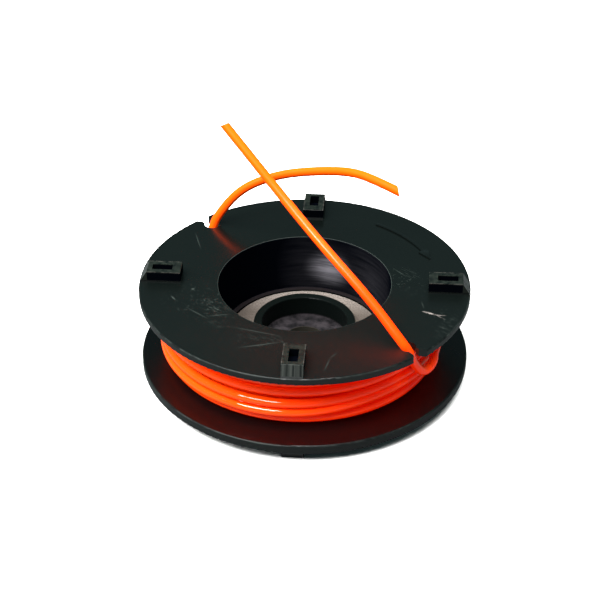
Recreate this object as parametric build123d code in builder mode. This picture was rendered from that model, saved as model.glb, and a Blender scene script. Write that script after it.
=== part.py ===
from build123d import *
from math import atan2, cos, degrees, hypot, radians, sin, sqrt, tan
import os

# Trimmer line spool: a moulded spool with a steel spring washer in its recess, wound with round nylon line
# whose two free ends leave through notches in the upper flange.
# Millimetres, +Z up. The origin is on the spindle axis, on the plane that the lower lugs stand on.

# The line
line_d = 2.4

# Flanges and the space between them
flange_r = 43.0
upper_flange_t = 2.0
lower_flange_t = 2.5
line_space = 18.3
rim_round = 0.4

# Lugs, alike above and below but for their height
lug_count = 4
lower_lug_h = 2.7
upper_lug_h = 2.9
lug_w = 5.5
lug_top_l = 8.8
lug_slope = 1.8
lug_rim_gap = 0.3
pocket_l = 5.3
pocket_w = 2.4
pocket_depth = 2.2
pocket_end_wall = 1.2

# Recess in the drum, its ledge and the pocket of the washer
recess_mouth_r = 22.4
recess_draft = 0.4
recess_depth = 15.7
ledge_w = 1.6
washer_t = 1.0
washer_sink = 0.2
washer_clearance = 0.2
washer_edge = 0.15

# Drum, web, boss and the sleeve round the spindle
drum_wall = 1.8
drum_fillet = 0.6
web_t = 3.0
core_wall = 2.6
boss_r = 13.4
boss_h = 4.7
boss_wall = 2.2
counterbore_depth = 5.4
spindle_bore_r = 5.25
sleeve_wall = 3.25
edge_round = 0.3

# Keyhole notches in the upper flange, each a round hole that opens to the rim through a narrower neck
notch_angles = (-45, 135)
keyhole_d = 4.3
keyhole_inset = 4.4
neck_clearance = 0.1
notch_lead_l = 1.7
notch_lead_w = 1.4
notch_lip_r = 1.3

# Winding; the turns of its outer layer lie loosely, at these drops below the top one
bare_rim = 5.8
winding_clearance = 0.2
winding_top_gap = 0.3
winding_low_gap = 0.8
turn_drops = (0.0, 2.6, 5.4, 8.9, 11.8)
lead_sweep = 110.0

# Free ends of the line, from the winding to the cut end
lead_off = [
    (35.5, -12.9, 14.9),
    (34.2, -16.6, 14.9),
    (33.4, -20.2, 15.3),
    (31.5, -23.3, 14.9),
    (29.2, -25.4, 18.8),
]
straight_points = lead_off + [
    (27.8, -27.7, 24.1),
    (25.5, -27.6, 27.5),
    (17.6, -18.6, 33.1),
    (3.5, -5.8, 42.1),
    (-10.9, 8.2, 52.4),
    (-22.1, 19.5, 60.2),
]
arched_points = [(-x, -y, z) for x, y, z in lead_off] + [
    (-27.3, 27.2, 24.0),
    (-26.8, 27.2, 28.5),
    (-19.3, 30.6, 35.0),
    (-9.6, 30.5, 39.5),
    (0.7, 27.5, 43.1),
    (10.8, 21.5, 46.8),
    (17.9, 12.9, 49.2),
    (23.4, 4.2, 51.3),
]

# Heights, from the lower lugs up
lower_under_z = lower_lug_h
lower_top_z = lower_under_z + lower_flange_t
upper_under_z = lower_top_z + line_space
upper_top_z = upper_under_z + upper_flange_t
lug_top_z = upper_top_z + upper_lug_h
ledge_z = upper_top_z - recess_depth
washer_top_z = ledge_z - washer_sink
washer_seat_z = washer_top_z - washer_t
web_under_z = washer_seat_z - web_t
boss_top_z = washer_seat_z + boss_h
counterbore_z = boss_top_z - counterbore_depth

# Radii, from the axis out
sleeve_r = spindle_bore_r + sleeve_wall
counterbore_r = boss_r - boss_wall
ledge_outer_r = recess_mouth_r - recess_draft
ledge_inner_r = ledge_outer_r - ledge_w
drum_r = recess_mouth_r + drum_wall
core_r = drum_r - core_wall
lug_outer_r = flange_r - lug_rim_gap
lug_top_r = lug_outer_r - lug_slope
lug_inner_r = lug_top_r - lug_top_l
pocket_r = lug_top_r - pocket_end_wall - pocket_l / 2

lug_angles = [360 / lug_count * i for i in range(lug_count)]
keyhole_r = flange_r - keyhole_inset
neck_half_w = line_d / 2 + neck_clearance


def radial_plane(angle):
    """Upright plane through the axis: local x points outwards at this angle, local y points up."""
    a = radians(angle)
    return Plane(origin=(0, 0, 0), x_dir=(cos(a), sin(a), 0), z_dir=(sin(a), -cos(a), 0))


def turned_plane(angle, z):
    """Level plane at height z whose local x points outwards at this angle."""
    a = radians(angle)
    return Plane(origin=(0, 0, z), x_dir=(cos(a), sin(a), 0), z_dir=(0, 0, 1))


def corners(sketch, *points):
    """The vertices of a sketch that lie nearest to the given points."""
    return [sketch.vertices().sort_by_distance(point)[0] for point in points]


# Spool body, moulded in one piece
with BuildPart() as spool_body:
    # Half section: drum, flanges, recess with its ledge and washer pocket, boss, web and sleeve
    with BuildSketch(Plane.XZ) as section:
        with BuildLine():
            Polyline(
                (spindle_bore_r, lower_under_z),
                (sleeve_r, lower_under_z),
                (sleeve_r, web_under_z),
                (core_r, web_under_z),
                (core_r, lower_under_z),
                (flange_r, lower_under_z),
                (flange_r, lower_top_z),
                (drum_r, lower_top_z),
                (drum_r, upper_under_z),
                (flange_r, upper_under_z),
                (flange_r, upper_top_z),
                (recess_mouth_r, upper_top_z),
                (ledge_outer_r, ledge_z),
                (ledge_inner_r, ledge_z),
                (ledge_inner_r, washer_seat_z),
                (boss_r, washer_seat_z),
                (boss_r, boss_top_z),
                (counterbore_r, boss_top_z),
                (counterbore_r, counterbore_z),
                (spindle_bore_r, counterbore_z),
                close=True,
            )
        make_face()
        rims = [(flange_r, z) for z in (lower_under_z, lower_top_z, upper_under_z, upper_top_z)]
        fillet(corners(section, *rims), rim_round)
        fillet(corners(section, (drum_r, lower_top_z), (drum_r, upper_under_z)), drum_fillet)
        mouths = [(recess_mouth_r, upper_top_z), (boss_r, boss_top_z), (counterbore_r, boss_top_z)]
        fillet(corners(section, *mouths), edge_round)
    revolve(axis=Axis.Z)

    # Lugs: flat top with rounded ends, upright sides and a slope down to the rim
    for base_z, tip_z in ((upper_top_z, lug_top_z), (lower_under_z, 0)):
        root_z = base_z + (rim_round if tip_z < base_z else -rim_round)
        for angle in lug_angles:
            with BuildSketch(radial_plane(angle)) as lug_side:
                with BuildLine():
                    Polyline(
                        (lug_inner_r, root_z),
                        (lug_outer_r, root_z),
                        (lug_outer_r, base_z),
                        (lug_top_r, tip_z),
                        (lug_inner_r, tip_z),
                        close=True,
                    )
                make_face()
                fillet(corners(lug_side, (lug_inner_r, tip_z), (lug_top_r, tip_z)), edge_round)
            extrude(amount=lug_w / 2, both=True)

    # Slot-shaped pockets that core the lugs
    for mouth_z, into in ((lug_top_z, -pocket_depth), (0, pocket_depth)):
        with BuildSketch(Plane.XY.offset(mouth_z)):
            with PolarLocations(pocket_r, lug_count):
                Rectangle(pocket_l, pocket_w)
        extrude(amount=into, mode=Mode.SUBTRACT)

    # Keyhole notches: a neck with a lead-in chamfer on one side and a rounded lip on the other, then the hole
    for angle in notch_angles:
        with BuildSketch(turned_plane(angle, upper_under_z)):
            with BuildLine():
                lip_y = -neck_half_w - notch_lip_r
                lead_y = neck_half_w + notch_lead_w
                past_r = flange_r + notch_lead_l
                Line((keyhole_r, -neck_half_w), (flange_r - notch_lip_r, -neck_half_w))
                CenterArc((flange_r - notch_lip_r, lip_y), notch_lip_r, 90, -90)
                Polyline(
                    (flange_r, lip_y),
                    (past_r, lip_y),
                    (past_r, lead_y),
                    (flange_r, lead_y),
                    (flange_r - notch_lead_l, neck_half_w),
                    (keyhole_r, neck_half_w),
                    (keyhole_r, -neck_half_w),
                )
            make_face()
            with Locations((keyhole_r, 0)):
                Circle(keyhole_d / 2)
        extrude(amount=upper_flange_t, mode=Mode.SUBTRACT)
spool_body.part.label = "spool_body"

# Steel washer on the floor of the recess, round the boss
with BuildPart() as seat_washer:
    with BuildSketch(Plane.XY.offset(washer_seat_z)):
        Circle(ledge_inner_r - washer_clearance)
        Circle(boss_r + washer_clearance, mode=Mode.SUBTRACT)
    extrude(amount=washer_t)
    chamfer(seat_washer.edges().group_by(Axis.Z)[-1], washer_edge)
seat_washer.part.label = "seat_washer"

# Line winding: the turns of the outer layer show as ridges on the layer below, whose end turns round its corners
turn_r = line_d / 2
outer_layer_r = flange_r - bare_rim - turn_r
next_layer_r = outer_layer_r - line_d * sqrt(3) / 2
winding_bore_r = drum_r + winding_clearance
winding_top_z = upper_under_z - winding_top_gap
winding_low_z = lower_top_z + winding_low_gap
top_turn_z = winding_top_z - turn_r
low_turn_z = winding_low_z + turn_r
lead_x, lead_y, lead_z = lead_off[0]
lead_r = hypot(lead_x, lead_y)
buried_r = outer_layer_r - turn_r
lead_shift = (lead_r - buried_r) / (1 - cos(radians(lead_sweep)))

with BuildPart() as line_winding:
    with BuildSketch(Plane.XZ):
        with Locations((winding_bore_r, winding_low_z)):
            inner_build = next_layer_r - winding_bore_r
            Rectangle(inner_build, winding_top_z - winding_low_z, align=(Align.MIN, Align.MIN))
        with Locations((next_layer_r, low_turn_z)):
            Rectangle(turn_r, top_turn_z - low_turn_z, align=(Align.MIN, Align.MIN))
        with Locations((next_layer_r, low_turn_z), (next_layer_r, top_turn_z)):
            Circle(turn_r)
        with Locations(*[(outer_layer_r, top_turn_z - drop) for drop in turn_drops]):
            Circle(turn_r)
    revolve(axis=Axis.Z)
    # The last part of each turn climbs out of the winding to where a free end begins
    for half_turn in (0, 180):
        lead_angle = degrees(atan2(lead_y, lead_x)) + half_turn
        outwards = Vector(1, 0, 0).rotate(Axis.Z, lead_angle)
        with BuildSketch(radial_plane(lead_angle)):
            with Locations((lead_r, lead_z)):
                Circle(turn_r)
        revolve(axis=Axis(outwards * lead_shift, (0, 0, 1)), revolution_arc=lead_sweep)
line_winding.part.label = "line_winding"


def bend_radii(points):
    """Radius of the arc at each inner point of a route, as large as its two runs allow."""
    spots = [Vector(point) for point in points]
    radii = []
    for before, spot, after in zip(spots, spots[1:], spots[2:]):
        first, second = spot - before, after - spot
        turn = radians(first.get_angle(second))
        radii.append(0.45 * min(first.length, second.length) / tan(turn / 2))
    return radii


# Straight free end, out of the front notch and up across the spool
with BuildPart() as straight_tail:
    with BuildLine() as straight_route:
        FilletPolyline(*straight_points, radius=bend_radii(straight_points))
    with BuildSketch(Plane(origin=straight_route.line @ 0, z_dir=straight_route.line % 0)):
        Circle(turn_r)
    sweep(path=straight_route.line)
straight_tail.part.label = "straight_tail"

# Arched free end, out of the rear notch and over to the right
with BuildPart() as arched_tail:
    with BuildLine() as arched_route:
        FilletPolyline(*arched_points, radius=bend_radii(arched_points))
    with BuildSketch(Plane(origin=arched_route.line @ 0, z_dir=arched_route.line % 0)):
        Circle(turn_r)
    sweep(path=arched_route.line)
arched_tail.part.label = "arched_tail"

for name, points in (("straight tail", straight_points), ("arched tail", arched_points)):
    print(name, "bend radii:", [round(radius, 1) for radius in bend_radii(points)])

os.makedirs("parts", exist_ok=True)
export_step(spool_body.part, "parts/spool_body.step")
export_step(seat_washer.part, "parts/seat_washer.step")
export_step(line_winding.part, "parts/line_winding.step")
export_step(straight_tail.part, "parts/straight_tail.step")
export_step(arched_tail.part, "parts/arched_tail.step")
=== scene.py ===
# %% [markdown]
# # Trimmer line spool
# A string trimmer's head holds a spool like this one: black moulded plastic, wound with orange nylon line
# whose two ends leave through notches in the upper flange. The CAD model already has the exact spool, so this
# lesson loads it as a fixed frame, makes the line as real turns and free ends, and then finishes every surface.

# %% Load the CAD frame
import math

import bpy
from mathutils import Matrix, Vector


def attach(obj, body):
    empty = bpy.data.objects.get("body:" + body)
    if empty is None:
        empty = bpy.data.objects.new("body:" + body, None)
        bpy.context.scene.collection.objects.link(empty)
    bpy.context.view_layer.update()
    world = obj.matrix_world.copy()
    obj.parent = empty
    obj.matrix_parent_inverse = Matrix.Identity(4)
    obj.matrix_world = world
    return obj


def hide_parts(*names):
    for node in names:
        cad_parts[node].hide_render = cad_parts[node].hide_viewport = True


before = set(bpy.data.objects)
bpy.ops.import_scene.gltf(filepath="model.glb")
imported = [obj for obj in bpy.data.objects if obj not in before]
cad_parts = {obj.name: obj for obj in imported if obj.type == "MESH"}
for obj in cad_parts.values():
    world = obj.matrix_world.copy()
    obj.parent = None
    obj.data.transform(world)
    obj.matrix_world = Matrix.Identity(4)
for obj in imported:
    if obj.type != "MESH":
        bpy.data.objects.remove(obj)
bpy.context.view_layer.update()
MM = 0.001
print("CAD nodes:", sorted(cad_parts))


# %% [markdown]
# ## Camera
# The camera comes first, because every later piece is judged through it. Its place was found by fitting the
# circles of the flanges and the recess to the photograph: a long lens, about 33 degrees above the table.

# %% Camera
AIM = Vector((-1.21, 0.0, 19.82)) * MM
CAMERA_AZIMUTH = math.radians(4.3)
CAMERA_ELEVATION = math.radians(33.46)
CAMERA_DISTANCE = 450 * MM
SENSOR_MM = 36.0
FOCAL_PX = 1721.6
PHOTO_PX = 600


def way_out(azimuth, elevation):
    """The way from the spool out to this side, with the front at azimuth 0."""
    return Vector((
        math.sin(azimuth) * math.cos(elevation),
        -math.cos(azimuth) * math.cos(elevation),
        math.sin(elevation),
    ))


towards_camera = way_out(CAMERA_AZIMUTH, CAMERA_ELEVATION)
bpy.ops.object.camera_add(
    location=AIM + towards_camera * CAMERA_DISTANCE,
    rotation=towards_camera.to_track_quat("Z", "Y").to_euler(),
)
camera = bpy.context.object
camera.data.sensor_width = SENSOR_MM
camera.data.lens = SENSOR_MM * (FOCAL_PX / PHOTO_PX)
bpy.context.scene.camera = camera
print("lens:", round(camera.data.lens, 1), "mm")


# %% [markdown]
# ## Free ends of the line
# Nylon line is springy: it keeps the bow it had on the spool, so both ends stand up by themselves. Each is one
# NURBS spline on the CAD route's own points, with a round bevel for its thickness. A spline of order 3 bends
# evenly between its points, where a mesh tube with corners would look like wire. Some points are moved from the
# CAD route by a few millimetres to follow the photograph: the first three come down from higher on the winding,
# and the arch leans less far towards the camera, as its mirror image in the flange shows. The thickness is set
# as each point's radius on a bevel of one metre, because Blender adds that radius to a curve's box.

# %% Free ends of the line
LINE_D = 2.4
LINE_R = LINE_D / 2 * MM
UNIT_BEVEL = 1.0
BEVEL_STEPS = 6
LEAD_OFF = [
    (35.3, -12.9, 17.9),
    (34.0, -16.5, 17.5),
    (34.0, -20.2, 15.9),
    (31.5, -23.3, 14.9),
    (29.2, -25.4, 18.8),
]
STRAIGHT_ROUTE = LEAD_OFF + [
    (27.8, -27.7, 24.1),
    (25.5, -27.6, 27.5),
    (17.6, -18.6, 33.1),
    (3.5, -5.8, 42.1),
    (-10.9, 8.2, 52.4),
    (-22.9, 20.3, 60.7),
]
ARCHED_ROUTE = [(-x, -y, z) for x, y, z in LEAD_OFF] + [
    (-27.4, 27.1, 23.9),
    (-25.9, 27.9, 28.0),
    (-19.5, 29.5, 35.8),
    (-9.6, 30.1, 40.1),
    (0.6, 27.2, 43.3),
    (10.7, 22.7, 46.1),
    (17.7, 17.4, 46.5),
    (24.4, 13.5, 45.2),
]


def line_along(name, routes, order, smoothness):
    """A curve of round line, with one open NURBS spline for each route of points in millimetres."""
    curve = bpy.data.curves.new(name, "CURVE")
    curve.dimensions = "3D"
    curve.resolution_u = smoothness
    curve.bevel_depth = UNIT_BEVEL
    curve.bevel_resolution = BEVEL_STEPS
    curve.use_fill_caps = True
    for route in routes:
        spline = curve.splines.new("NURBS")
        spline.points.add(len(route) - 1)
        for knot, point in zip(spline.points, route):
            knot.co = (*(Vector(point) * MM), 1.0)
            knot.radius = LINE_R
        spline.order_u = order
        spline.use_endpoint_u = True
    piece = bpy.data.objects.new(name, curve)
    bpy.context.scene.collection.objects.link(piece)
    return piece


straight_end = line_along("straight_line_end", [STRAIGHT_ROUTE], order=3, smoothness=16)
arched_end = line_along("arched_line_end", [ARCHED_ROUTE], order=3, smoothness=16)
print("control points:", len(STRAIGHT_ROUTE), "and", len(ARCHED_ROUTE))

# %% [markdown]
# A snip seldom cuts line square. A mesh is made from each spline while its bevel is off, and thrown away. Then
# each end becomes a mesh, and the bisect operator takes its tip off along a slanting plane and fills the cut.

# %% Snipped tips
# Where each end is snipped, and the way that its cut faces
STRAIGHT_SNIP = (-22.2, 19.5, 60.3), (-0.42, 0.48, 0.77)
ARCHED_SNIP = (23.3, 14.2, 45.4), (0.98, 0.16, 0.13)
LINE_SMOOTH_UNDER = math.radians(40)


def make_mesh(piece):
    """Turn a curve into a mesh in place, and leave it active."""
    bpy.ops.object.select_all(action="DESELECT")
    piece.select_set(True)
    bpy.context.view_layer.objects.active = piece
    bpy.ops.object.convert(target="MESH")


for piece, node_name, length, (snip_at, facing) in (
    (straight_end, "straight_tail", 0.100, STRAIGHT_SNIP),
    (arched_end, "arched_tail", 0.085, ARCHED_SNIP),
):
    snip_at = Vector(snip_at) * MM
    piece.data.bevel_depth = 0.0
    bare_spline = bpy.data.meshes.new_from_object(piece)
    bpy.data.meshes.remove(bare_spline)
    piece.data.bevel_depth = UNIT_BEVEL
    make_mesh(piece)
    bpy.ops.object.mode_set(mode="EDIT")
    bpy.ops.mesh.select_all(action="SELECT")
    bpy.ops.mesh.bisect(plane_co=snip_at, plane_no=facing, use_fill=True, clear_outer=True)
    bpy.ops.object.mode_set(mode="OBJECT")
    bpy.ops.object.shade_smooth_by_angle(angle=LINE_SMOOTH_UNDER)
    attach(piece, "root")
    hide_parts(node_name)
    print(piece.name, "faces:", len(piece.data.polygons))


# %% [markdown]
# ## Wound line
# The winding shows five loose turns of its outer layer, and one turn of the layer below where the outer one
# stops short of the lower flange. Real turns lie level and step down to the next place at the same angle each
# time round, which is here the back. A spline with many points per turn can do that, where a plain helix would
# slope all the way. On the right the turns crowd up towards the notch where the line leaves, and there the line
# is pulled tight, so that the loose outer layer hangs out a little to the left.

# %% Turns of the winding
POINTS_PER_TURN = 24
TURN_STEP = math.tau / POINTS_PER_TURN
OUTER_R = 36.0
OFF_CENTRE = -0.8
NEXT_R = OUTER_R - LINE_D * math.sqrt(3) / 2
# Radius and height of each turn, and how far it is lifted on the right
TURNS = [
    (OUTER_R, 22.0, 0.0),
    (OUTER_R, 19.4, 0.4),
    (OUTER_R, 16.6, 0.7),
    (OUTER_R, 12.9, 1.6),
    (OUTER_R, 10.1, 2.2),
    (34.6, 7.8, 0.0),
    (NEXT_R, 7.2, 0.0),
]
STEP_DOWN_SHARE = 1 / 6
FIRST_ANGLE = math.radians(120)
LIFT_ANGLE = math.radians(-45)
LIFT_HALF_WIDTH = math.radians(50)
WOBBLE = 0.05
WOBBLE_WAVES = 3
WOBBLE_SHIFT = 2.1
# A cubic spline runs inside the ring of its points by this factor, so the points lie that much further out.
RING_OUT = 3 / (2 + math.cos(TURN_STEP))


def eased(share):
    """0 before the start, 1 after the end, and a smooth step between."""
    share = min(max(share, 0.0), 1.0)
    return share * share * (3 - 2 * share)


def ring_point(radius, angle, z):
    """A control point of a turn, in millimetres."""
    return (radius * RING_OUT * math.cos(angle) + OFF_CENTRE, radius * RING_OUT * math.sin(angle), z)


turns = []
for turn, (here, below) in enumerate(zip(TURNS, TURNS[1:])):
    for part in range(POINTS_PER_TURN):
        angle = FIRST_ANGLE + part * TURN_STEP
        down = eased((part / POINTS_PER_TURN - 1 + STEP_DOWN_SHARE) / STEP_DOWN_SHARE)
        radius, z, lift = [a + (b - a) * down for a, b in zip(here, below)]
        off_notch = abs(math.remainder(angle - LIFT_ANGLE, math.tau))
        z += lift * eased(1 - off_notch / LIFT_HALF_WIDTH)
        radius += WOBBLE * math.sin(WOBBLE_WAVES * angle + WOBBLE_SHIFT * turn)
        turns.append(ring_point(radius, angle, z))
print("points on the turns:", len(turns))

# %% [markdown]
# The last stretch of line before each free end lies on top of the outer layer and slips down between two of its
# turns. It follows an off-centre circle, which is the CAD winding's own shape there, but sinks sooner.

# %% Lead-off of each free end
LEAD_SWEEP = math.radians(90)
BURIED_R = OUTER_R - 2.0


def outwards(angle):
    """The way out from the spool's axis at this angle."""
    return Vector((math.cos(angle), math.sin(angle), 0))


lead_x, lead_y, lead_z = LEAD_OFF[0]
lead_r = math.hypot(lead_x, lead_y)
lead_shift = (lead_r - BURIED_R) / (1 - math.cos(LEAD_SWEEP))
lead_offs = []
for side in (1, -1):
    lead_angle = math.atan2(side * lead_y, side * lead_x)
    middle = outwards(lead_angle) * lead_shift
    strand = [(side * lead_x, side * lead_y, lead_z)]
    for i in range(1, round(LEAD_SWEEP / TURN_STEP) + 1):
        around = Vector(ring_point(lead_r - lead_shift, lead_angle + i * TURN_STEP, lead_z))
        strand.append(tuple(middle + around - Vector((OFF_CENTRE, 0, 0))))
    lead_offs.append(strand)

wound = line_along("wound_line", [turns] + lead_offs, order=4, smoothness=7)
make_mesh(wound)
print("line in these turns:", round(sum(math.tau * radius for radius, z, lift in TURNS[:-1])), "mm")

# %% [markdown]
# Under the outer layer, the inner layers are packed out of sight. One spun ring stands for them: a plane is
# shaped to the half section, and the spin operator turns it about the axis. Its doubles are merged where the
# spin closes.

# %% Packed inner layers
BORE_R = 24.4
PACKED_R = 35.2
PACKED_TOP_Z = 23.0
PACKED_LOW_Z = 6.2
PACKED_STEPS = 96
PACKED_MERGE = 0.01 * MM
# A new plane's corners in order round it, and the half section's corners in the same order
ROUND_PLANE = (0, 1, 3, 2)
PACKED_CORNERS = [
    (BORE_R, PACKED_LOW_Z),
    (BORE_R, PACKED_TOP_Z),
    (PACKED_R, PACKED_TOP_Z),
    (NEXT_R, PACKED_LOW_Z),
]

bpy.ops.object.select_all(action="DESELECT")
bpy.ops.mesh.primitive_plane_add(size=1.0)
packed = bpy.context.object
packed.name = packed.data.name = "packed_layers"
for i, (radius, z) in zip(ROUND_PLANE, PACKED_CORNERS):
    packed.data.vertices[i].co = Vector((radius, 0, z)) * MM
bpy.ops.object.mode_set(mode="EDIT")
bpy.ops.mesh.select_all(action="SELECT")
bpy.ops.mesh.delete(type="ONLY_FACE")
bpy.ops.mesh.select_all(action="SELECT")
bpy.ops.mesh.spin(steps=PACKED_STEPS, angle=math.tau, center=(0, 0, 0), axis=(0, 0, 1))
bpy.ops.mesh.select_all(action="SELECT")
bpy.ops.mesh.remove_doubles(threshold=PACKED_MERGE)
bpy.ops.mesh.normals_make_consistent(inside=False)
bpy.ops.object.mode_set(mode="OBJECT")
bpy.ops.object.select_all(action="DESELECT")
packed.select_set(True)
wound.select_set(True)
bpy.context.view_layer.objects.active = wound
bpy.ops.object.join()
bpy.ops.object.shade_smooth_by_angle(angle=LINE_SMOOTH_UNDER)
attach(wound, "root")
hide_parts("line_winding")
print("winding faces:", len(wound.data.polygons))


# %% [markdown]
# ## Moulded arrow
# A plain curved arrow is raised on the upper flange, between the rear and the right lug. It starts as one short
# edge, the spin operator drags it round the axis into a strip, and two more spins make the head.

# %% Outline of the arrow
FLANGE_TOP_Z = 25.5
ARROW_R = 35.0
ARROW_SHAFT_W = 1.0
ARROW_FROM = math.radians(60)
ARROW_SWEEP = math.radians(30)
ARROW_STEPS = 20
ARROW_HEAD_SWEEP = math.radians(7)
ARROW_BARB_SWEEP = math.radians(0.8)
ARROW_HEAD_TIMES = 3.0
ARROW_TIP_TIMES = 0.08
ARROW_MERGE = 0.005 * MM
ON_FIRST_EDGE = math.radians(0.1)


def spin_selected(steps, angle):
    """Spin the selected edge clockwise about the spool's axis."""
    bpy.ops.mesh.spin(steps=steps, angle=angle, center=(0, 0, 0), axis=(0, 0, 1))


def widen_selected(times, angle):
    """Scale the selected edge along itself, about its middle on the arrow's circle."""
    bpy.ops.transform.resize(value=(times, times, 1), center_override=outwards(angle) * ARROW_R * MM)


bpy.ops.object.select_all(action="DESELECT")
bpy.ops.mesh.primitive_plane_add(
    size=ARROW_SHAFT_W * MM, location=(ARROW_R * MM, -ARROW_SHAFT_W / 2 * MM, 0),
)
arrow = bpy.context.object
arrow.name = "turn_arrow"
bpy.ops.object.transform_apply(location=True)
arrow.rotation_euler.z = ARROW_FROM
bpy.ops.object.transform_apply(rotation=True)
bpy.ops.object.mode_set(mode="EDIT")
bpy.ops.mesh.select_all(action="DESELECT")
bpy.ops.object.mode_set(mode="OBJECT")
for vertex in arrow.data.vertices:
    vertex.select = abs(math.atan2(vertex.co.y, vertex.co.x) - ARROW_FROM) > ON_FIRST_EDGE
bpy.ops.object.mode_set(mode="EDIT")
bpy.ops.mesh.delete(type="VERT")
bpy.ops.mesh.select_all(action="SELECT")
spin_selected(ARROW_STEPS, ARROW_SWEEP)
spin_selected(1, ARROW_BARB_SWEEP)
neck = ARROW_FROM - ARROW_SWEEP - ARROW_BARB_SWEEP
widen_selected(ARROW_HEAD_TIMES, neck)
spin_selected(1, ARROW_HEAD_SWEEP)
widen_selected(ARROW_TIP_TIMES / ARROW_HEAD_TIMES, neck - ARROW_HEAD_SWEEP)
bpy.ops.mesh.select_all(action="SELECT")
bpy.ops.mesh.remove_doubles(threshold=ARROW_MERGE)
print("arrow head from", round(math.degrees(neck), 1), "degrees")

# %% [markdown]
# The flat arrow, still in edit mode, is set a little below the flange's top and extruded up through it, so that
# no gap shows under it. A small bevel then rounds its edges.

# %% Height of the arrow
ARROW_RAISED = 0.35
ARROW_SUNK = 0.1
ARROW_ROUNDING = 0.1
ARROW_ROUNDING_STEPS = 2
ARROW_SHARP_OVER = math.radians(50)
ARROW_SMOOTH_UNDER = math.radians(35)

bpy.ops.transform.translate(value=(0, 0, (FLANGE_TOP_Z - ARROW_SUNK) * MM))
bpy.ops.mesh.extrude_region_move(
    TRANSFORM_OT_translate={"value": (0, 0, (ARROW_RAISED + ARROW_SUNK) * MM)},
)
bpy.ops.mesh.select_all(action="SELECT")
bpy.ops.mesh.normals_make_consistent(inside=False)
bpy.ops.object.mode_set(mode="OBJECT")
rounding = arrow.modifiers.new("rounding", "BEVEL")
rounding.width = ARROW_ROUNDING * MM
rounding.segments = ARROW_ROUNDING_STEPS
rounding.limit_method = "ANGLE"
rounding.angle_limit = ARROW_SHARP_OVER
bpy.ops.object.modifier_apply(modifier=rounding.name)
bpy.ops.object.shade_smooth_by_angle(angle=ARROW_SMOOTH_UNDER)
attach(arrow, "root")
print("arrow faces:", len(arrow.data.polygons))


# %% [markdown]
# ## Finishes
# Colours are picked as sRGB hex values and turned to the linear numbers that shaders use by one function. One
# more function adds a node, with its settings and links, so that each finish below reads as a short recipe.

# %% Colour and node helpers
def linear(hex_colour):
    """An sRGB hex colour as linear red, green, blue and alpha."""
    shares = [int(hex_colour[i:i + 2], 16) / 255 for i in (1, 3, 5)]
    return [s / 12.92 if s <= 0.04045 else ((s + 0.055) / 1.055) ** 2.4 for s in shares] + [1.0]


def per(size_mm):
    """Texture scale at which one cell of a pattern is this large."""
    return 1 / (size_mm * MM)


def add_node(tree, kind, inputs=None, **settings):
    """Add a node, set its properties, and set or link each named or numbered input."""
    made = tree.nodes.new(kind)
    for name, value in settings.items():
        setattr(made, name, value)
    for key, value in (inputs or {}).items():
        if isinstance(value, bpy.types.NodeSocket):
            tree.links.new(value, made.inputs[key])
        else:
            made.inputs[key].default_value = value
    return made


def new_finish(name):
    """An empty material, its node tree, its Principled shader and the Object coordinates."""
    finish = bpy.data.materials.new(name)
    finish.use_nodes = True
    tree = finish.node_tree
    shader = tree.nodes["Principled BSDF"]
    place = add_node(tree, "ShaderNodeTexCoord").outputs["Object"]
    return finish, tree, shader, place


def wear_finish(piece, finish):
    """Give a piece or a CAD node one finish all over."""
    piece.data.materials.clear()
    piece.data.materials.append(finish)


# %% [markdown]
# ### Moulded black plastic
# The spool is injection-moulded black nylon. At the back it is still glossy, so the line shows in it as in a
# dark mirror, and towards the front handling has dulled it. The spool is turned about one axis, so most of its
# faces are told apart by their distance from that axis and their height.

# %% Places on the plastic
FLANGE_R = 43.0
# A face's own points lie this near to it, and points this far from an edge are clear of its rounding
NEAR = 0.2
CLEAR = 0.4

plastic, tree, shader, place = new_finish("moulded_black_nylon")
axis_distance = add_node(tree, "ShaderNodeVectorMath", {
    0: add_node(tree, "ShaderNodeVectorMath", {0: place, 1: (1, 1, 0)}, operation="MULTIPLY").outputs[0],
}, operation="LENGTH").outputs["Value"]
coordinates = add_node(tree, "ShaderNodeSeparateXYZ", {0: place})
height = coordinates.outputs["Z"]
print("finish:", plastic.name)

# %% [markdown]
# There are fine scuffs and specks on the upper flange and a whitened nick near the right lug. On the wall of
# the recess there is a painted highlight with a painted grey sheen round it. Each mark is an ellipse: a Mapping
# node brings its place to the unit ball and a spherical gradient fills that.

# %% Marks
# Centre, length and width in millimetres, turn in degrees, strength
PALE_NICKS = [
    ((32.7, -12.2), 4.8, 0.9, -20, 2.4),
    ((35.4, -12.9), 3.2, 0.6, -4, 1.1),
    ((35.3, -13.8), 3.2, 0.55, -40, 1.0),
    ((40.6, -17.9), 1.6, 0.5, -60, 0.9),
]
SCRATCHES = [
    ((-26.0, -16.5), 9.0, 0.5, -38, 0.8),
    ((-20.5, -17.0), 7.0, 0.5, 14, 0.7),
    ((-10.5, -23.5), 16.0, 0.5, -14, 0.7),
    ((-9.0, -29.3), 13.0, 0.65, 17, 0.8),
    ((-33.0, -10.0), 3.0, 0.6, -54, 1.2),
    ((-28.5, -5.5), 1.2, 1.0, 0, 1.4),
    ((-21.0, -1.5), 1.0, 0.8, 0, 1.0),
    ((-30.1, 18.2), 10.0, 0.5, -73, 0.7),
    ((24.5, 6.4), 6.0, 0.5, -47, 0.6),
    ((8.1, -36.3), 7.0, 0.5, 79, 0.7),
    ((9.4, -32.4), 3.5, 0.5, 55, 0.7),
    ((30.7, -8.5), 4.0, 0.4, -77, 0.7),
]
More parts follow.
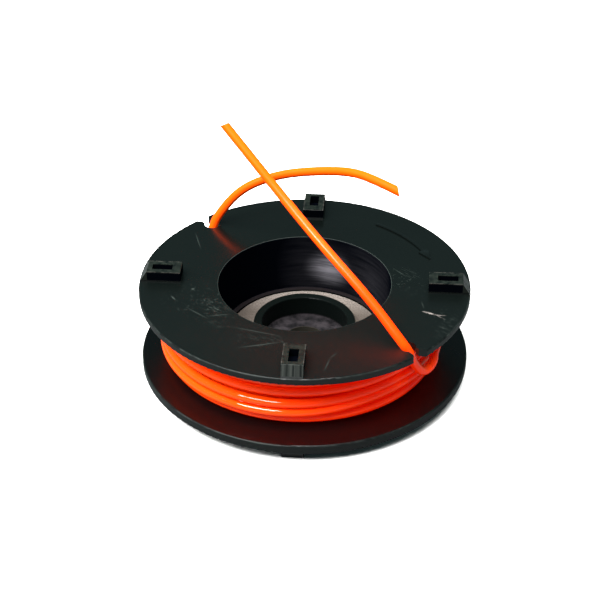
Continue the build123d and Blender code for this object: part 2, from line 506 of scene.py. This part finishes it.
SCUFFS = [
    ((-22.0, -13.5), 12.0, 7.0, -38, 1.0),
    ((-20.5, -21.5), 8.0, 3.0, -25, 0.8),
    ((-6.0, -26.5), 22.0, 5.0, -8, 0.45),
    ((27.0, 6.0), 9.0, 4.0, -50, 0.5),
    ((36.8, -18.2), 13.0, 5.0, 62, 0.9),
]
SPECKLED = [
    ((-24.0, -12.0), 34.0, 20.0, -35, 0.8),
    ((-8.0, -27.0), 30.0, 14.0, -8, 0.6),
    ((26.0, 2.0), 20.0, 14.0, -60, 0.6),
    ((36.0, -14.0), 12.0, 12.0, 0, 0.6),
]
# Painted highlight on the wall of the recess, and the painted grey sheen round it
WALL_HIGHLIGHT_MARKS = [
    ((5.2, 21.5), 17.0, 10.0, -14, 0.85),
]
WALL_SHEEN_MARKS = [
    ((1.5, 22.1), 24.0, 10.0, 0, 0.07),
    ((17.0, 14.0), 32.0, 14.0, -50, 0.08),
]
# Height of the middle of the marks, and how far they reach above and below it
ON_FLANGE = (FLANGE_TOP_Z, 0.5)
WALL_HIGHLIGHT_Z = (16.2, 7.0)
WALL_SHEEN_Z = (16.0, 14.0)


def marks_mask(marks, z, half_height):
    """Sum of soft ellipsoids, one for each mark."""
    total = 0.0
    for (x, y), length, width, turn, strength in marks:
        local = add_node(tree, "ShaderNodeMapping", {
            "Vector": place,
            "Location": Vector((x, y, z)) * MM,
            "Rotation": (0, 0, math.radians(turn)),
            "Scale": Vector((length / 2, width / 2, half_height)) * MM,
        }, vector_type="TEXTURE")
        blob = add_node(tree, "ShaderNodeTexGradient", {0: local.outputs[0]}, gradient_type="SPHERICAL")
        total = add_node(tree, "ShaderNodeMath", {
            0: blob.outputs["Fac"], 1: strength, 2: total,
        }, operation="MULTIPLY_ADD").outputs[0]
    return total


nicks = marks_mask(PALE_NICKS, *ON_FLANGE)
scratches = marks_mask(SCRATCHES, *ON_FLANGE)
scuffs = marks_mask(SCUFFS, *ON_FLANGE)
speckled = marks_mask(SPECKLED, *ON_FLANGE)
wall_highlight_mask = marks_mask(WALL_HIGHLIGHT_MARKS, *WALL_HIGHLIGHT_Z)
wall_sheen_mask = marks_mask(WALL_SHEEN_MARKS, *WALL_SHEEN_Z)
print("nodes with the marks:", len(tree.nodes))

# %% [markdown]
# Scuffs are crowds of short fine scratches, about 0.25 mm wide. Noise gives them, drawn out along one direction.
# The specks between them are sparse and about 0.3 mm across.

# %% Scuffs and specks
SCUFF_TURN = math.radians(-34)
SCUFF_DRAWN_OUT = 6.0

drawn_out = add_node(tree, "ShaderNodeMapping", {
    "Vector": place, "Rotation": (0, 0, SCUFF_TURN), "Scale": (SCUFF_DRAWN_OUT, 1.0, 1.0),
}, vector_type="TEXTURE")
crowd_noise = add_node(tree, "ShaderNodeTexNoise", {
    "Vector": drawn_out.outputs[0], "Scale": per(0.5), "Detail": 2.0, "Roughness": 0.6,
})
crowd = add_node(tree, "ShaderNodeMapRange", {
    "Value": crowd_noise.outputs["Fac"], "From Min": 0.52, "From Max": 0.7,
}).outputs["Result"]
scratched = add_node(tree, "ShaderNodeMath", {
    0: scuffs, 1: crowd, 2: scratches,
}, operation="MULTIPLY_ADD").outputs[0]
speck_noise = add_node(tree, "ShaderNodeTexNoise", {"Vector": place, "Scale": per(0.6), "Detail": 1.0})
specks = add_node(tree, "ShaderNodeMapRange", {
    "Value": speck_noise.outputs["Fac"], "From Min": 0.64, "From Max": 0.74,
}).outputs["Result"]
scuffed = add_node(tree, "ShaderNodeMath", {
    0: speckled, 1: specks, 2: scratched,
}, operation="MULTIPLY_ADD", use_clamp=True).outputs[0]
print("nodes with the scuffs:", len(tree.nodes))

# %% [markdown]
# Handling rubs a moulding palest on its edges. Only the rounded edge of each flange is rubbed, broken up along
# its length. A thin pale line all round the mouth of the recess is a painted highlight on its rounded edge.

# %% Rubbed rims, and a painted highlight at the mouth
LOWER_TOP_Z = 5.2
RECESS_MOUTH_R = 22.5
EDGE_DROP = 0.15
RUB_ENDS, RUB_FULL = 0.35, 0.1
MOUTH_LINE_HALF_W = 0.1

near_rim = add_node(tree, "ShaderNodeMapRange", {
    "Value": axis_distance, "From Min": (FLANGE_R - RUB_ENDS) * MM, "From Max": (FLANGE_R - RUB_FULL) * MM,
}).outputs["Result"]
edge_gaps = [
    add_node(tree, "ShaderNodeMath", {
        0: add_node(tree, "ShaderNodeMath", {0: height, 1: z * MM}, operation="SUBTRACT").outputs[0],
    }, operation="ABSOLUTE").outputs[0]
    for z in (FLANGE_TOP_Z - EDGE_DROP, LOWER_TOP_Z - EDGE_DROP)
]
edge_gap = add_node(tree, "ShaderNodeMath", {
    0: edge_gaps[0], 1: edge_gaps[1],
}, operation="MINIMUM").outputs[0]
near_edge = add_node(tree, "ShaderNodeMapRange", {
    "Value": edge_gap, "From Min": RUB_ENDS * MM, "From Max": RUB_FULL * MM,
}).outputs["Result"]
rub_noise = add_node(tree, "ShaderNodeTexNoise", {
    "Vector": place, "Scale": per(5.0), "Detail": 6.0, "Roughness": 0.7,
})
rub_patches = add_node(tree, "ShaderNodeMapRange", {
    "Value": rub_noise.outputs["Fac"], "From Min": 0.46, "From Max": 0.64,
}).outputs["Result"]
rubbed = add_node(tree, "ShaderNodeMath", {
    0: add_node(tree, "ShaderNodeMath", {0: near_rim, 1: near_edge}, operation="MULTIPLY").outputs[0],
    1: rub_patches,
}, operation="MULTIPLY").outputs[0]
# Painted highlight: a thin pale line round the mouth of the recess
at_mouth = add_node(tree, "ShaderNodeMath", {
    0: axis_distance, 1: RECESS_MOUTH_R * MM, 2: MOUTH_LINE_HALF_W * MM,
}, operation="COMPARE").outputs[0]
near_top = add_node(tree, "ShaderNodeMath", {
    0: height, 1: (FLANGE_TOP_Z - CLEAR) * MM,
}, operation="GREATER_THAN").outputs[0]
mouth_highlight = add_node(tree, "ShaderNodeMath", {0: at_mouth, 1: near_top}, operation="MULTIPLY").outputs[0]
edges = add_node(tree, "ShaderNodeMath", {0: rubbed, 1: mouth_highlight}, operation="MAXIMUM").outputs[0]
# Wear, and the painted highlight at the mouth, are paler and rougher
wear_and_mouth_highlight = add_node(tree, "ShaderNodeMath", {
    0: scuffed, 1: edges,
}, operation="MAXIMUM", use_clamp=True).outputs[0]
wear_and_highlight_colour = add_node(tree, "ShaderNodeMix", {
    "Factor": wear_and_mouth_highlight, "A": linear("#050807"), "B": linear("#222825"),
}, data_type="RGBA")
print("nodes with the rims:", len(tree.nodes))

# %% [markdown]
# The lugs take the most knocks. Their tops are rubbed grey, and their long top edges are chipped and carry a
# painted highlight. Their slopes are dragged into streaks towards the rim. The streaks are noise along the way
# round the axis.

# %% Lugs
LUG_EDGE = 2.65
LUG_LINE_HALF_W = 0.12
LUG_TOP_Z = 28.4
LUG_TOP_R = 40.9
LUG_TOP_MARGIN = 0.05
LUG_EDGE_STRENGTH = 0.16

on_lug_tops = add_node(tree, "ShaderNodeMath", {
    0: height, 1: (LUG_TOP_Z - NEAR) * MM,
}, operation="GREATER_THAN").outputs[0]
sideways = [
    add_node(tree, "ShaderNodeMath", {0: coordinates.outputs[axis]}, operation="ABSOLUTE").outputs[0]
    for axis in "XY"
]
from_middle = add_node(tree, "ShaderNodeMath", {
    0: sideways[0], 1: sideways[1],
}, operation="MINIMUM").outputs[0]
lug_line = add_node(tree, "ShaderNodeMath", {
    0: from_middle, 1: LUG_EDGE * MM, 2: LUG_LINE_HALF_W * MM,
}, operation="COMPARE").outputs[0]
lug_edge_chips_and_highlight = add_node(tree, "ShaderNodeMath", {0: lug_line, 1: on_lug_tops}, operation="MULTIPLY").outputs[0]
above_flange = add_node(tree, "ShaderNodeMath", {
    0: height, 1: (FLANGE_TOP_Z + CLEAR) * MM,
}, operation="GREATER_THAN").outputs[0]
past_tops = add_node(tree, "ShaderNodeMath", {
    0: axis_distance, 1: (LUG_TOP_R + LUG_TOP_MARGIN) * MM,
}, operation="GREATER_THAN").outputs[0]
on_slopes = add_node(tree, "ShaderNodeMath", {0: above_flange, 1: past_tops}, operation="MULTIPLY").outputs[0]
round_axis = add_node(tree, "ShaderNodeMath", {
    0: add_node(tree, "ShaderNodeMath", {
        0: coordinates.outputs["Y"], 1: coordinates.outputs["X"],
    }, operation="ARCTAN2").outputs[0],
    1: FLANGE_R * MM,
}, operation="MULTIPLY").outputs[0]
streak_noise = add_node(tree, "ShaderNodeTexNoise", {
    "W": round_axis, "Scale": per(0.9), "Detail": 3.0, "Roughness": 0.6,
}, noise_dimensions="1D")
streaks = add_node(tree, "ShaderNodeMapRange", {
    "Value": streak_noise.outputs["Fac"], "From Min": 0.35, "From Max": 0.65,
}).outputs["Result"]
lug_sides = add_node(tree, "ShaderNodeMath", {
    0: add_node(tree, "ShaderNodeMath", {0: above_flange, 1: on_lug_tops}, operation="SUBTRACT").outputs[0],
    1: past_tops,
}, operation="SUBTRACT", use_clamp=True).outputs[0]
chip_noise = add_node(tree, "ShaderNodeTexNoise", {
    "Vector": place, "Scale": per(1.5), "Detail": 3.0, "Roughness": 0.6,
})
chips = add_node(tree, "ShaderNodeMapRange", {
    "Value": chip_noise.outputs["Fac"], "From Min": 0.36, "From Max": 0.66,
}).outputs["Result"]
# Whitened nicks, and the lugs' top edges, which are partly chipped and partly a painted highlight
nicks_and_edge_highlight = add_node(tree, "ShaderNodeMath", {
    0: add_node(tree, "ShaderNodeMath", {
        0: lug_edge_chips_and_highlight, 1: LUG_EDGE_STRENGTH, 2: nicks,
    }, operation="MULTIPLY_ADD").outputs[0],
    1: chips,
}, operation="MULTIPLY", use_clamp=True).outputs[0]
lug_wear = add_node(tree, "ShaderNodeMath", {
    0: add_node(tree, "ShaderNodeMath", {0: on_lug_tops, 1: chips}, operation="MULTIPLY").outputs[0],
    1: add_node(tree, "ShaderNodeMath", {0: on_slopes, 1: streaks}, operation="MULTIPLY").outputs[0],
}, operation="MAXIMUM").outputs[0]
lug_colour = add_node(tree, "ShaderNodeMix", {
    "Factor": lug_wear, "A": wear_and_highlight_colour.outputs["Result"], "B": linear("#171B17"),
}, data_type="RGBA")
colour = add_node(tree, "ShaderNodeMix", {
    "Factor": nicks_and_edge_highlight, "A": lug_colour.outputs["Result"], "B": linear("#6C6662"),
}, data_type="RGBA")
print("nodes with the lugs:", len(tree.nodes))

# %% [markdown]
# The lower flange, its top included, is painted near black as painted shade between the flanges. The floor of
# the counterbore is rough and mottled. The wall of the spindle hole is painted paler as painted light from
# below, and the step round the washer is painted paler as a painted highlight.

# %% Lower flange, counterbore and step
COUNTERBORE_R = 11.3
COUNTERBORE_Z = 7.9
COUNTERBORE_HALF_H = 0.3
BORE_HOLE_R = 5.25
BORE_HOLE_MARGIN = 0.1
WASHER_POCKET_R = 20.4
STEP_MIDDLE, STEP_HALF_W = 0.7, 0.65
MOUTH_DEPTH = 1

below = add_node(tree, "ShaderNodeMath", {
    0: height, 1: (LOWER_TOP_Z + NEAR) * MM,
}, operation="LESS_THAN").outputs[0]
off_rim = add_node(tree, "ShaderNodeMath", {
    0: axis_distance, 1: (FLANGE_R - CLEAR) * MM,
}, operation="LESS_THAN").outputs[0]
# Painted shade: the lower flange is near black
lower_flange_painted_shade = add_node(tree, "ShaderNodeMix", {
    "Factor": add_node(tree, "ShaderNodeMath", {0: below, 1: off_rim}, operation="MULTIPLY").outputs[0],
    "A": colour.outputs["Result"], "B": linear("#010202"),
}, data_type="RGBA")
at_floor = add_node(tree, "ShaderNodeMath", {
    0: height, 1: COUNTERBORE_Z * MM, 2: COUNTERBORE_HALF_H * MM,
}, operation="COMPARE").outputs[0]
inside = add_node(tree, "ShaderNodeMath", {
    0: axis_distance, 1: COUNTERBORE_R * MM,
}, operation="LESS_THAN").outputs[0]
bore_floor = add_node(tree, "ShaderNodeMath", {0: at_floor, 1: inside}, operation="MULTIPLY").outputs[0]
mottle = add_node(tree, "ShaderNodeTexNoise", {
    "Vector": place, "Scale": per(2.4), "Detail": 5.0, "Roughness": 0.7,
})
patches = add_node(tree, "ShaderNodeMapRange", {
    "Value": mottle.outputs["Fac"], "From Min": 0.36, "From Max": 0.64,
}).outputs["Result"]
mottled = add_node(tree, "ShaderNodeMix", {
    "Factor": patches, "A": linear("#0B0B0C"), "B": linear("#272426"),
}, data_type="RGBA")
floored = add_node(tree, "ShaderNodeMix", {
    "Factor": bore_floor, "A": lower_flange_painted_shade.outputs["Result"], "B": mottled.outputs["Result"],
}, data_type="RGBA")
# Painted light: the wall of the spindle hole is paler
in_hole = add_node(tree, "ShaderNodeMath", {
    0: axis_distance, 1: (BORE_HOLE_R + BORE_HOLE_MARGIN) * MM,
}, operation="LESS_THAN").outputs[0]
hole_painted_light = add_node(tree, "ShaderNodeMix", {
    "Factor": in_hole, "A": floored.outputs["Result"], "B": linear("#26241F"),
}, data_type="RGBA")
# Painted highlight: the step round the washer is paler
at_step = add_node(tree, "ShaderNodeMath", {
    0: axis_distance, 1: (WASHER_POCKET_R + STEP_MIDDLE) * MM, 2: STEP_HALF_W * MM,
}, operation="COMPARE").outputs[0]
in_recess = add_node(tree, "ShaderNodeMath", {
    0: height, 1: (FLANGE_TOP_Z - MOUTH_DEPTH) * MM,
}, operation="LESS_THAN").outputs[0]
step_painted_highlight = add_node(tree, "ShaderNodeMix", {
    "Factor": add_node(tree, "ShaderNodeMath", {0: at_step, 1: in_recess}, operation="MULTIPLY").outputs[0],
    "A": hole_painted_light.outputs["Result"], "B": linear("#171415"),
}, data_type="RGBA")
print("nodes with the recess's floor:", len(tree.nodes))

# %% [markdown]
# The wall of the recess is painted darker than the rest as painted shade, and it is duller, like the sides and
# pockets of the lugs. A painted highlight on the wall has level drag lines in it and a painted grey sheen round
# it.

# %% Wall of the recess
RECESS_WALL_R = 22.15
WALL_HALF_W = 0.35
DRAG_SQUEEZE = 0.06

on_wall = add_node(tree, "ShaderNodeMath", {
    0: axis_distance, 1: RECESS_WALL_R * MM, 2: WALL_HALF_W * MM,
}, operation="COMPARE").outputs[0]
# Painted shade: the wall of the recess and the sides and pockets of the lugs are made darker, and lose their
# shine
shaded = add_node(tree, "ShaderNodeMath", {0: on_wall, 1: lug_sides}, operation="MAXIMUM").outputs[0]
wall_and_lug_side_shade = add_node(tree, "ShaderNodeMix", {
    "Factor": shaded, "A": step_painted_highlight.outputs["Result"], "B": linear("#020306"),
}, data_type="RGBA")
level = add_node(tree, "ShaderNodeMapping", {"Vector": place, "Scale": (DRAG_SQUEEZE, DRAG_SQUEEZE, 1.0)})
drag_noise = add_node(tree, "ShaderNodeTexNoise", {
    "Vector": level.outputs[0], "Scale": per(0.6), "Detail": 3.0, "Roughness": 0.6,
})
drag_lines = add_node(tree, "ShaderNodeMapRange", {
    "Value": drag_noise.outputs["Fac"], "From Min": 0.2, "From Max": 0.6,
}).outputs["Result"]
# Painted highlight and painted sheen on the wall of the recess, broken up by the drag lines
soft_highlight = add_node(tree, "ShaderNodeMapRange", {
    "Value": wall_highlight_mask,
}, interpolation_type="SMOOTHERSTEP").outputs["Result"]
highlight_and_sheen = add_node(tree, "ShaderNodeMath", {0: soft_highlight, 1: wall_sheen_mask}, operation="ADD").outputs[0]
painted_wall_highlight = add_node(tree, "ShaderNodeMath", {
    0: add_node(tree, "ShaderNodeMath", {0: highlight_and_sheen, 1: drag_lines}, operation="MULTIPLY").outputs[0],
    1: on_wall,
}, operation="MULTIPLY", use_clamp=True).outputs[0]
wall_with_painted_highlight = add_node(tree, "ShaderNodeMix", {
    "Factor": painted_wall_highlight, "A": wall_and_lug_side_shade.outputs["Result"], "B": linear("#6A686E"),
}, data_type="RGBA")
tree.links.new(wall_with_painted_highlight.outputs["Result"], shader.inputs["Base Color"])
print("nodes with the recess's wall:", len(tree.nodes))

# %% [markdown]
# The mould was polished. The gloss drifts over a few millimetres, fades towards the front, and is lost in scuffs
# and between the streaks of the lugs, and the boss is almost as dull as the wall round it. A fine moulded grain,
# about 0.5 mm, is shallow enough to soften a reflection without breaking it.

# %% Gloss and grain
PLASTIC_IOR = 1.5
DULL_SHARE = 0.8
GLOSSY_Y, DULL_Y = 16, -22
BOSS_MATT = 0.5
WORN_ROUGHNESS = 0.3

unstreaked = add_node(tree, "ShaderNodeMath", {
    0: on_slopes, 1: streaks,
}, operation="SUBTRACT", use_clamp=True).outputs[0]
on_boss = add_node(tree, "ShaderNodeMath", {
    0: axis_distance, 1: RECESS_WALL_R * MM,
}, operation="LESS_THAN").outputs[0]
without_shine = add_node(tree, "ShaderNodeMath", {
    0: add_node(tree, "ShaderNodeMath", {0: unstreaked, 1: on_boss}, operation="MAXIMUM").outputs[0],
    1: DULL_SHARE, 2: shaded,
}, operation="MULTIPLY_ADD").outputs[0]
mirror_level = add_node(tree, "ShaderNodeMapRange", {"Value": without_shine, "To Min": 0.5, "To Max": 0.0})
tree.links.new(mirror_level.outputs["Result"], shader.inputs["Specular IOR Level"])
gloss_noise = add_node(tree, "ShaderNodeTexNoise", {"Vector": place, "Scale": per(6.0), "Detail": 4.0})
gloss = add_node(tree, "ShaderNodeMapRange", {
    "Value": gloss_noise.outputs["Fac"], "From Min": 0.3, "From Max": 0.7, "To Min": 0.1, "To Max": 0.16,
}).outputs["Result"]
dulled = add_node(tree, "ShaderNodeMapRange", {
    "Value": coordinates.outputs["Y"],
    "From Min": GLOSSY_Y * MM, "From Max": DULL_Y * MM, "To Min": 0.07, "To Max": 0.26,
}).outputs["Result"]
sheen = add_node(tree, "ShaderNodeMath", {0: gloss, 1: dulled}, operation="ADD").outputs[0]
matt_boss = add_node(tree, "ShaderNodeMath", {0: on_boss, 1: BOSS_MATT}, operation="MULTIPLY").outputs[0]
matt = add_node(tree, "ShaderNodeMath", {0: wear_and_mouth_highlight, 1: matt_boss}, operation="MAXIMUM").outputs[0]
roughness = add_node(tree, "ShaderNodeMath", {
    0: matt, 1: WORN_ROUGHNESS, 2: sheen,
}, operation="MULTIPLY_ADD")
tree.links.new(roughness.outputs[0], shader.inputs["Roughness"])
shader.inputs["IOR"].default_value = PLASTIC_IOR
grain = add_node(tree, "ShaderNodeTexNoise", {"Vector": place, "Scale": per(0.5), "Detail": 2.0})
grain_relief = add_node(tree, "ShaderNodeBump", {
    "Strength": 0.05, "Distance": 0.02 * MM, "Height": grain.outputs["Fac"],
})
tree.links.new(grain_relief.outputs[0], shader.inputs["Normal"])
wear_finish(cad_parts["spool_body"], plastic)
wear_finish(arrow, plastic)
print("plastic nodes:", len(tree.nodes))

# %% [markdown]
# ### Plated steel
# The spring washer is stamped from steel sheet and dull plated, so it has a fine sandy grain and no sharp
# mirror. It is painted paler at the back and greyer round the sides, as painted light and shade.

# %% Plated steel
GREY_Y, BRIGHT_Y = 9, 18
PLATED_METALLIC = 0.35
PLATED_ROUGHNESS = 0.5

steel, tree, shader, place = new_finish("dull_plated_steel")
sand = add_node(tree, "ShaderNodeTexNoise", {
    "Vector": place, "Scale": per(0.4), "Detail": 3.0, "Roughness": 0.7,
})
towards_back = add_node(tree, "ShaderNodeSeparateXYZ", {0: place}).outputs["Y"]
# Painted light and shade: paler at the back, greyer round the sides
bright = add_node(tree, "ShaderNodeMapRange", {
    "Value": towards_back, "From Min": GREY_Y * MM, "From Max": BRIGHT_Y * MM,
}).outputs["Result"]
plating_painted_lit = add_node(tree, "ShaderNodeMix", {
    "Factor": bright, "A": linear("#5E564F"), "B": linear("#9A9088"),
}, data_type="RGBA")
dark = add_node(tree, "ShaderNodeMapRange", {
    "Value": sand.outputs["Fac"], "From Min": 0.4, "From Max": 0.6, "To Min": 0.0, "To Max": 0.75,
}).outputs["Result"]
sanded = add_node(tree, "ShaderNodeMix", {
    "Factor": dark, "A": plating_painted_lit.outputs["Result"], "B": linear("#453F39"),
}, data_type="RGBA")
tree.links.new(sanded.outputs["Result"], shader.inputs["Base Color"])
shader.inputs["Metallic"].default_value = PLATED_METALLIC
shader.inputs["Roughness"].default_value = PLATED_ROUGHNESS
sand_relief = add_node(tree, "ShaderNodeBump", {
    "Strength": 0.25, "Distance": 0.04 * MM, "Height": sand.outputs["Fac"],
})
tree.links.new(sand_relief.outputs[0], shader.inputs["Normal"])
wear_finish(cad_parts["seat_washer"], steel)
print("steel nodes:", len(tree.nodes))

# %% [markdown]
# ### Orange nylon line
# The line is extruded nylon monofilament, coloured through. On the straight end just above the notch it is
# painted redder as painted shade, and towards both tips it is painted yellower as painted light.

# %% Colour of the line
NOTCH_SHADE_Z = (24, 29)
IN_FRONT_Y = (5, -15)
TIP_LIGHT_Z = (30, 46)

nylon, tree, shader, place = new_finish("extruded_orange_nylon")
cloud = add_node(tree, "ShaderNodeTexNoise", {"Vector": place, "Scale": per(9.0), "Detail": 2.0})
hue = add_node(tree, "ShaderNodeMix", {
    "Factor": cloud.outputs["Fac"], "A": linear("#FF4806"), "B": linear("#FF5006"),
}, data_type="RGBA")
line_place = add_node(tree, "ShaderNodeSeparateXYZ", {0: place})
line_height = line_place.outputs["Z"]
# Painted shade: the straight end is redder just above the notch, in front
notch_shade_rise = add_node(tree, "ShaderNodeMapRange", {
    "Value": line_height, "From Min": NOTCH_SHADE_Z[0] * MM, "From Max": NOTCH_SHADE_Z[1] * MM,
}, interpolation_type="SMOOTHSTEP").outputs["Result"]
in_front = add_node(tree, "ShaderNodeMapRange", {
    "Value": line_place.outputs["Y"], "From Min": IN_FRONT_Y[0] * MM, "From Max": IN_FRONT_Y[1] * MM,
}).outputs["Result"]
painted_notch_shade = add_node(tree, "ShaderNodeMix", {
    "Factor": add_node(tree, "ShaderNodeMath", {0: notch_shade_rise, 1: in_front}, operation="MULTIPLY").outputs[0],
    "A": hue.outputs["Result"], "B": linear("#FF3804"),
}, data_type="RGBA")
# Painted light: both ends are yellower towards their tips
painted_tip_light = add_node(tree, "ShaderNodeMapRange", {
    "Value": line_height, "From Min": TIP_LIGHT_Z[0] * MM, "From Max": TIP_LIGHT_Z[1] * MM,
}, interpolation_type="SMOOTHSTEP").outputs["Result"]
orange = add_node(tree, "ShaderNodeMix", {
    "Factor": painted_tip_light, "A": painted_notch_shade.outputs["Result"], "B": linear("#FF4E04"),
}, data_type="RGBA")
tree.links.new(orange.outputs["Result"], shader.inputs["Base Color"])
print("nodes with the colour:", len(tree.nodes))

# %% [markdown]
# On the winding the line is smooth and takes a crisp highlight, and the free ends, which have been handled, are
# duller. Where the straight end crosses the recess it has kept its shine.

# %% Shine of the line
HANDLED_Z = (22, 27)
SHINE_AT = (3.5, -5.8, 42.1)
SHINE_R = 20.0
SHINE_KEPT = 0.6
NYLON_IOR = 1.53

handled = add_node(tree, "ShaderNodeMapRange", {
    "Value": line_height, "From Min": HANDLED_Z[0] * MM, "From Max": HANDLED_Z[1] * MM,
}).outputs["Result"]
around_shine = add_node(tree, "ShaderNodeMapping", {
    "Vector": place, "Location": Vector(SHINE_AT) * MM, "Scale": Vector((SHINE_R, SHINE_R, SHINE_R)) * MM,
}, vector_type="TEXTURE")
shine = add_node(tree, "ShaderNodeTexGradient", {
    0: around_shine.outputs[0],
}, gradient_type="SPHERICAL").outputs["Fac"]
dull = add_node(tree, "ShaderNodeMath", {
    0: shine, 1: -SHINE_KEPT, 2: handled,
}, operation="MULTIPLY_ADD", use_clamp=True).outputs[0]
for socket, shiny_value, dull_value in (("Roughness", 0.05, 0.36), ("Specular IOR Level", 0.5, 0.04)):
    faded = add_node(tree, "ShaderNodeMapRange", {"Value": dull, "To Min": shiny_value, "To Max": dull_value})
    tree.links.new(faded.outputs["Result"], shader.inputs[socket])
shader.inputs["IOR"].default_value = NYLON_IOR
for piece in (straight_end, arched_end, wound):
    wear_finish(piece, nylon)
print("nylon nodes:", len(tree.nodes))


# %% [markdown]
# ## Stage
# The floor is pale paper in a dim room. It is white to the camera and grey to every other ray, so that the
# glossy rims mirror a grey table.

# %% Floor and room
FLOOR_SIZE = 6
PAPER_ROUGHNESS = 0.9
PAPER_SPECULAR = 0.1
ROOM_STRENGTH = 0.12

bpy.ops.mesh.primitive_plane_add(size=FLOOR_SIZE)
floor = bpy.context.object
floor.name = "floor"
paper, tree, shader, place = new_finish("pale_paper")
seen = add_node(tree, "ShaderNodeLightPath").outputs["Is Camera Ray"]
paper_tone = add_node(tree, "ShaderNodeMix", {
    "Factor": seen, "A": linear("#4C5050"), "B": linear("#F4F4F2"),
}, data_type="RGBA")
tree.links.new(paper_tone.outputs["Result"], shader.inputs["Base Color"])
shader.inputs["Roughness"].default_value = PAPER_ROUGHNESS
shader.inputs["Specular IOR Level"].default_value = PAPER_SPECULAR
wear_finish(floor, paper)

world = bpy.data.worlds.new("dim_room")
bpy.context.scene.world = world
world.use_nodes = True
room = world.node_tree.nodes["Background"]
room.inputs["Color"].default_value = linear("#C6F0F4")
room.inputs["Strength"].default_value = ROOM_STRENGTH
print("floor:", FLOOR_SIZE, "m across")

# %% [markdown]
# Soft boxes light the spool: one to the left of the camera that draws the bright streaks along the line, a large
# one far left that lights the winding from its side, a wide one overhead, and a small one in front that is
# linked to the spool and shows in the slope of the front lug. Nylon lets light through and turns it red on the
# way, so two weak red lights, which are linked to the winding and the straight end, lift their shaded side and
# their underside.

# %% Lights
def soft_box(name, azimuth, elevation, distance, size, power, mirrored=True, tint="#FFFFFF"):
    """An area light of this width and height that looks at the spool from this side, in degrees and metres."""
    away = way_out(math.radians(azimuth), math.radians(elevation))
    bpy.ops.object.light_add(
        type="AREA", location=AIM + away * distance, rotation=away.to_track_quat("Z", "Y").to_euler(),
    )
    light = bpy.context.object
    light.name = name
    light.data.shape = "RECTANGLE"
    light.data.size, light.data.size_y = size
    light.data.energy = power
    light.data.color = linear(tint)[:3]
    light.visible_glossy = mirrored
    return light


def light_only(light, name, pieces):
    """Link a light to some pieces, so that it lights nothing else and only they shade it."""
    linked = bpy.data.collections.new(name)
    for piece in pieces:
        linked.objects.link(piece)
    light.light_linking.receiver_collection = linked
    light.light_linking.blocker_collection = linked


soft_box("key_box", azimuth=-37.5, elevation=52, distance=0.9, size=(0.36, 0.22), power=9.5)
soft_box("left_box", azimuth=-85, elevation=44, distance=1.3, size=(1.2, 1.2), power=42.0, mirrored=False)
soft_box("top_box", azimuth=0, elevation=88, distance=1.1, size=(1.2, 1.2), power=46.0, mirrored=False)
front_box = soft_box("front_box", azimuth=-4, elevation=31, distance=0.9, size=(0.15, 0.15), power=0.5)
light_only(front_box, "lit_spool", [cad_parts["spool_body"]])
for name, azimuth, elevation, power in (("side_glow", 22, 14, 3.8), ("under_glow", -15, -35, 2.8)):
    glow = soft_box(
        name, azimuth, elevation, distance=0.9, size=(0.8, 0.4), power=power, mirrored=False, tint="#FF2A08",
    )
    light_only(glow, name + "_pieces", [straight_end, wound])
bpy.context.scene.view_settings.view_transform = "Standard"
